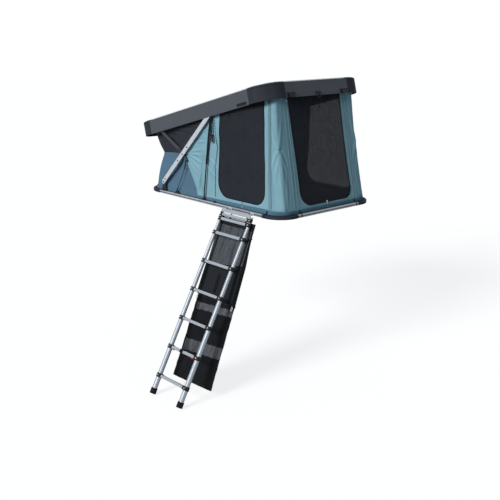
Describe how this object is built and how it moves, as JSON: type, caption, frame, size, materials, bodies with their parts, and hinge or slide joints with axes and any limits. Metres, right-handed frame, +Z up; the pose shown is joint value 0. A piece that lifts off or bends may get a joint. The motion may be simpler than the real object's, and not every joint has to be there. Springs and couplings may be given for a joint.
{
  "type": "roof top tent",
  "caption": "Hard-shell roof top tent that opens as a wedge on folding arms, with canvas walls, mesh windows, a telescopic ladder and a hanging ladder organiser.",
  "frame": {"origin": "centre of the base, on the plane where its rails and mounting channels lie on the roof bars", "axes": "+X to the high rear end, +Y to the right side away from the ladder, +Z up"},
  "size_m": [2.2494, 2.3323, 2.9203],
  "materials": {
    "silver_aluminium": "satin",
    "graphite_aluminium": "satin",
    "black_plastic": "matte",
    "floor_board": "matte",
    "steel": "satin",
    "teal_canvas": "matte",
    "slate_canvas": "matte",
    "charcoal_canvas": "matte",
    "mesh": "matte",
    "black_webbing": "matte",
    "foam_cover": "matte",
    "rubber": "matte",
    "red_plastic": "satin"
  },
  "bodies": {
    "base": {"base_floor": "floor_board", "base_rail_left": "silver_aluminium", "base_rail_right": "silver_aluminium", "base_rail_front": "silver_aluminium", "base_rail_rear": "silver_aluminium", "base_corners": "black_plastic", "mount_channels": "silver_aluminium", "crossbar_clamps": "steel", "clamp_bolts": "steel", "mattress": "foam_cover", "arm_feet": "black_plastic", "base_anchors": "black_plastic", "ladder_lugs": "black_plastic", "side_wall_left": "teal_canvas", "side_wall_right": "teal_canvas", "rear_wall": "teal_canvas", "front_lower_panel": "slate_canvas", "front_upper_panel": "charcoal_canvas", "base_skirt": "slate_canvas", "window_meshes": "mesh", "shock_cords": "rubber", "closing_straps": "black_webbing"},
    "main_arms": {"main_arms": "silver_aluminium"},
    "slide_shoes": {"slide_shoes": "black_plastic"},
    "lid": {"lid_panel": "silver_aluminium", "lid_rail_left": "graphite_aluminium", "lid_rail_right": "graphite_aluminium", "lid_rail_front": "graphite_aluminium", "lid_rail_rear": "graphite_aluminium", "lid_corners": "black_plastic", "lid_tracks": "graphite_aluminium", "link_brackets": "graphite_aluminium", "latch_plates": "black_plastic", "pull_loop": "black_plastic", "side_grips": "black_plastic"},
    "latch_left": {"latch_lever_left": "black_plastic"},
    "latch_right": {"latch_lever_right": "black_plastic"},
    "link_arms": {"link_arms": "graphite_aluminium"},
    "ladder_1": {"ladder_hook": "silver_aluminium", "ladder_section_1": "silver_aluminium", "ladder_collars_1": "black_plastic", "organiser_bag": "black_webbing", "organiser_panel": "black_webbing"},
    "ladder_2": {"ladder_section_2": "silver_aluminium", "ladder_collars_2": "black_plastic"},
    "ladder_3": {"ladder_section_3": "silver_aluminium", "ladder_collars_3": "black_plastic"},
    "ladder_4": {"ladder_section_4": "silver_aluminium", "ladder_collars_4": "black_plastic"},
    "ladder_5": {"ladder_section_5": "silver_aluminium", "ladder_collars_5": "black_plastic"},
    "ladder_6": {"ladder_section_6": "silver_aluminium", "ladder_collars_6": "black_plastic"},
    "ladder_7": {"ladder_section_7": "silver_aluminium", "ladder_collars_7": "black_plastic"},
    "ladder_8": {"ladder_section_8": "silver_aluminium", "ladder_collars_8": "black_plastic", "ladder_feet": "rubber"},
    "button_left": {"release_button_left": "red_plastic"},
    "button_right": {"release_button_right": "red_plastic"}
  },
  "joints": [
    {"name": "arms_fold", "type": "hinge", "parent": "base", "child": "main_arms", "pos_m": [-0.745, 0, 0.127], "axis": [0, 1, 0], "range_deg": [0, 46.47], "deforming": ["side_wall_left", "side_wall_right", "rear_wall", "front_lower_panel", "front_upper_panel", "base_skirt", "window_meshes", "shock_cords", "closing_straps"]},
    {"name": "shoes_turn", "type": "hinge", "parent": "main_arms", "child": "slide_shoes", "pos_m": [0.08493, 0, 0.94542], "axis": [0, 1, 0], "range_deg": [-32, 0]},
    {"name": "lid_slide", "type": "slide", "parent": "slide_shoes", "child": "lid", "axis": [0.9652, 0, 0.2614], "range_m": [-0.17, 0]},
    {"name": "links_turn", "type": "hinge", "parent": "lid", "child": "link_arms", "pos_m": [-0.84023, 0, 0.68975], "axis": [0, 1, 0], "range_deg": [-47, 0]},
    {"name": "latch_left_lift", "type": "hinge", "parent": "lid", "child": "latch_left", "pos_m": [0.868, -0.36, 1.1388], "axis": [0, -1, 0], "range_deg": [0, 110]},
    {"name": "latch_right_lift", "type": "hinge", "parent": "lid", "child": "latch_right", "pos_m": [0.868, 0.36, 1.1388], "axis": [0, -1, 0], "range_deg": [0, 110]},
    {"name": "ladder_swing", "type": "hinge", "parent": "base", "child": "ladder_1", "pos_m": [0, -0.7026, 0.01101], "axis": [-1, 0, 0], "range_deg": [0, 60]},
    {"name": "ladder_slide_2", "type": "slide", "parent": "ladder_1", "child": "ladder_2", "axis": [0, 0.4792, 0.8777], "range_m": [-0.2499, 0]},
    {"name": "ladder_slide_3", "type": "slide", "parent": "ladder_2", "child": "ladder_3", "axis": [0, 0.4792, 0.8777], "range_m": [-0.149, 0.1]},
    {"name": "ladder_slide_4", "type": "slide", "parent": "ladder_3", "child": "ladder_4", "axis": [0, 0.4792, 0.8777], "range_m": [0, 0.249]},
    {"name": "ladder_slide_5", "type": "slide", "parent": "ladder_4", "child": "ladder_5", "axis": [0, 0.4792, 0.8777], "range_m": [0, 0.249]},
    {"name": "ladder_slide_6", "type": "slide", "parent": "ladder_5", "child": "ladder_6", "axis": [0, 0.4792, 0.8777], "range_m": [0, 0.249]},
    {"name": "ladder_slide_7", "type": "slide", "parent": "ladder_6", "child": "ladder_7", "axis": [0, 0.4792, 0.8777], "range_m": [0, 0.249]},
    {"name": "ladder_slide_8", "type": "slide", "parent": "ladder_7", "child": "ladder_8", "axis": [0, 0.4792, 0.8777], "range_m": [0, 0.14]},
    {"name": "button_left_slide", "type": "slide", "parent": "ladder_7", "child": "button_left", "axis": [1, 0, 0], "range_m": [0, 0.006], "stiffness_N_per_m": 300},
    {"name": "button_right_slide", "type": "slide", "parent": "ladder_7", "child": "button_right", "axis": [-1, 0, 0], "range_m": [0, 0.006], "stiffness_N_per_m": 300}
  ],
  "couplings": [
    {"joint": "shoes_turn", "follows": "arms_fold", "ratio": -0.67397},
    {"joint": "lid_slide", "follows": "arms_fold", "m_per_rad": -0.20574},
    {"joint": "links_turn", "follows": "arms_fold", "ratio": -0.99815}
  ]
}
